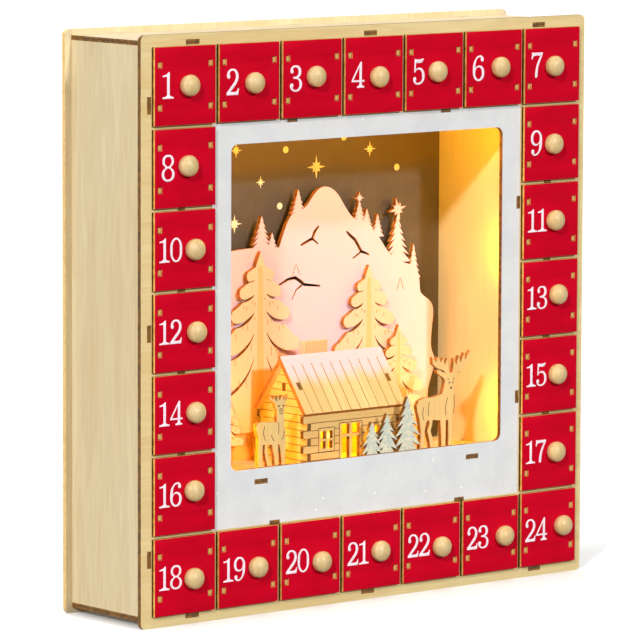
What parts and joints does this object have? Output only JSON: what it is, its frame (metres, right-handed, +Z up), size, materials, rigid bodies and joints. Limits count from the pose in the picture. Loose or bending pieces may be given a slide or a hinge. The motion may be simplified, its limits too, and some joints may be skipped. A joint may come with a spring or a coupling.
{
  "type": "wooden advent calendar",
  "caption": "Square plywood advent calendar box with a lit winter scene behind a window and a ring of numbered red drawers with round knobs.",
  "frame": {"origin": "middle of the base, on the surface that the box stands on", "axes": "+Z up, the window and drawers face -Y, +X to the viewer's right"},
  "size_m": [0.3, 0.0736, 0.3],
  "materials": {
    "natural_plywood": "raw laser-cut basswood plywood",
    "front_plywood": "plywood with white glitter paint in the middle",
    "red_paint": "red painted plywood front on a raw plywood tray",
    "snow_paint": "pale blue-white painted plywood",
    "wire": "clear-coated thin wire",
    "bulb": "warm white LED drop",
    "black_plastic": "moulded black plastic",
    "switch_plastic": "pale moulded plastic",
    "contact_metal": "plated spring steel",
    "cell_sleeve": "plain printed sleeve"
  },
  "bodies": {
    "case": {"front_panel": "front_plywood", "back_panel": "natural_plywood", "top_panel": "natural_plywood", "bottom_panel": "natural_plywood", "left_side_panel": "natural_plywood", "right_side_panel": "natural_plywood", "upper_shelf": "natural_plywood", "lower_shelf": "natural_plywood", "left_chamber_wall": "natural_plywood", "right_chamber_wall": "natural_plywood", "column_shelves": "natural_plywood", "row_dividers": "natural_plywood", "scene_floor": "natural_plywood", "mountain": "natural_plywood", "left_pine": "natural_plywood", "centre_pine": "natural_plywood", "right_pine": "natural_plywood", "small_pine": "natural_plywood", "snowy_trees": "snow_paint", "stag": "natural_plywood", "fawn": "natural_plywood", "cabin_front_wall": "natural_plywood", "cabin_rear_wall": "natural_plywood", "cabin_left_gable": "natural_plywood", "cabin_right_gable": "natural_plywood", "cabin_front_roof": "natural_plywood", "cabin_rear_roof": "natural_plywood", "cabin_chimney": "natural_plywood", "led_wire": "wire", "led_bulbs": "bulb", "battery_box": "black_plastic", "battery_contacts": "contact_metal", "battery_cells": "cell_sleeve"},
    "drawer_01": {"drawer_01": "red_paint"},
    "drawer_02": {"drawer_02": "red_paint"},
    "drawer_03": {"drawer_03": "red_paint"},
    "drawer_04": {"drawer_04": "red_paint"},
    "drawer_05": {"drawer_05": "red_paint"},
    "drawer_06": {"drawer_06": "red_paint"},
    "drawer_07": {"drawer_07": "red_paint"},
    "drawer_08": {"drawer_08": "red_paint"},
    "drawer_09": {"drawer_09": "red_paint"},
    "drawer_10": {"drawer_10": "red_paint"},
    "drawer_11": {"drawer_11": "red_paint"},
    "drawer_12": {"drawer_12": "red_paint"},
    "drawer_13": {"drawer_13": "red_paint"},
    "drawer_14": {"drawer_14": "red_paint"},
    "drawer_15": {"drawer_15": "red_paint"},
    "drawer_16": {"drawer_16": "red_paint"},
    "drawer_17": {"drawer_17": "red_paint"},
    "drawer_18": {"drawer_18": "red_paint"},
    "drawer_19": {"drawer_19": "red_paint"},
    "drawer_20": {"drawer_20": "red_paint"},
    "drawer_21": {"drawer_21": "red_paint"},
    "drawer_22": {"drawer_22": "red_paint"},
    "drawer_23": {"drawer_23": "red_paint"},
    "drawer_24": {"drawer_24": "red_paint"},
    "battery_cover": {"battery_cover": "black_plastic"},
    "switch_key": {"switch_key": "switch_plastic"}
  },
  "joints": [
    {"name": "drawer_01_slide", "type": "slide", "parent": "case", "child": "drawer_01", "axis": [0, -1, 0], "range_m": [0, 0.047]},
    {"name": "drawer_02_slide", "type": "slide", "parent": "case", "child": "drawer_02", "axis": [0, -1, 0], "range_m": [0, 0.047]},
    {"name": "drawer_03_slide", "type": "slide", "parent": "case", "child": "drawer_03", "axis": [0, -1, 0], "range_m": [0, 0.047]},
    {"name": "drawer_04_slide", "type": "slide", "parent": "case", "child": "drawer_04", "axis": [0, -1, 0], "range_m": [0, 0.047]},
    {"name": "drawer_05_slide", "type": "slide", "parent": "case", "child": "drawer_05", "axis": [0, -1, 0], "range_m": [0, 0.047]},
    {"name": "drawer_06_slide", "type": "slide", "parent": "case", "child": "drawer_06", "axis": [0, -1, 0], "range_m": [0, 0.047]},
    {"name": "drawer_07_slide", "type": "slide", "parent": "case", "child": "drawer_07", "axis": [0, -1, 0], "range_m": [0, 0.047]},
    {"name": "drawer_08_slide", "type": "slide", "parent": "case", "child": "drawer_08", "axis": [0, -1, 0], "range_m": [0, 0.047]},
    {"name": "drawer_09_slide", "type": "slide", "parent": "case", "child": "drawer_09", "axis": [0, -1, 0], "range_m": [0, 0.047]},
    {"name": "drawer_10_slide", "type": "slide", "parent": "case", "child": "drawer_10", "axis": [0, -1, 0], "range_m": [0, 0.047]},
    {"name": "drawer_11_slide", "type": "slide", "parent": "case", "child": "drawer_11", "axis": [0, -1, 0], "range_m": [0, 0.047]},
    {"name": "drawer_12_slide", "type": "slide", "parent": "case", "child": "drawer_12", "axis": [0, -1, 0], "range_m": [0, 0.047]},
    {"name": "drawer_13_slide", "type": "slide", "parent": "case", "child": "drawer_13", "axis": [0, -1, 0], "range_m": [0, 0.047]},
    {"name": "drawer_14_slide", "type": "slide", "parent": "case", "child": "drawer_14", "axis": [0, -1, 0], "range_m": [0, 0.047]},
    {"name": "drawer_15_slide", "type": "slide", "parent": "case", "child": "drawer_15", "axis": [0, -1, 0], "range_m": [0, 0.047]},
    {"name": "drawer_16_slide", "type": "slide", "parent": "case", "child": "drawer_16", "axis": [0, -1, 0], "range_m": [0, 0.047]},
    {"name": "drawer_17_slide", "type": "slide", "parent": "case", "child": "drawer_17", "axis": [0, -1, 0], "range_m": [0, 0.047]},
    {"name": "drawer_18_slide", "type": "slide", "parent": "case", "child": "drawer_18", "axis": [0, -1, 0], "range_m": [0, 0.047]},
    {"name": "drawer_19_slide", "type": "slide", "parent": "case", "child": "drawer_19", "axis": [0, -1, 0], "range_m": [0, 0.047]},
    {"name": "drawer_20_slide", "type": "slide", "parent": "case", "child": "drawer_20", "axis": [0, -1, 0], "range_m": [0, 0.047]},
    {"name": "drawer_21_slide", "type": "slide", "parent": "case", "child": "drawer_21", "axis": [0, -1, 0], "range_m": [0, 0.047]},
    {"name": "drawer_22_slide", "type": "slide", "parent": "case", "child": "drawer_22", "axis": [0, -1, 0], "range_m": [0, 0.047]},
    {"name": "drawer_23_slide", "type": "slide", "parent": "case", "child": "drawer_23", "axis": [0, -1, 0], "range_m": [0, 0.047]},
    {"name": "drawer_24_slide", "type": "slide", "parent": "case", "child": "drawer_24", "axis": [0, -1, 0], "range_m": [0, 0.047]},
    {"name": "battery_cover_slide", "type": "slide", "parent": "case", "child": "battery_cover", "axis": [1, 0, 0], "range_m": [0, 0.01]},
    {"name": "switch_key_slide", "type": "slide", "parent": "case", "child": "switch_key", "axis": [1, 0, 0], "range_m": [0, 0.004]}
  ]
}
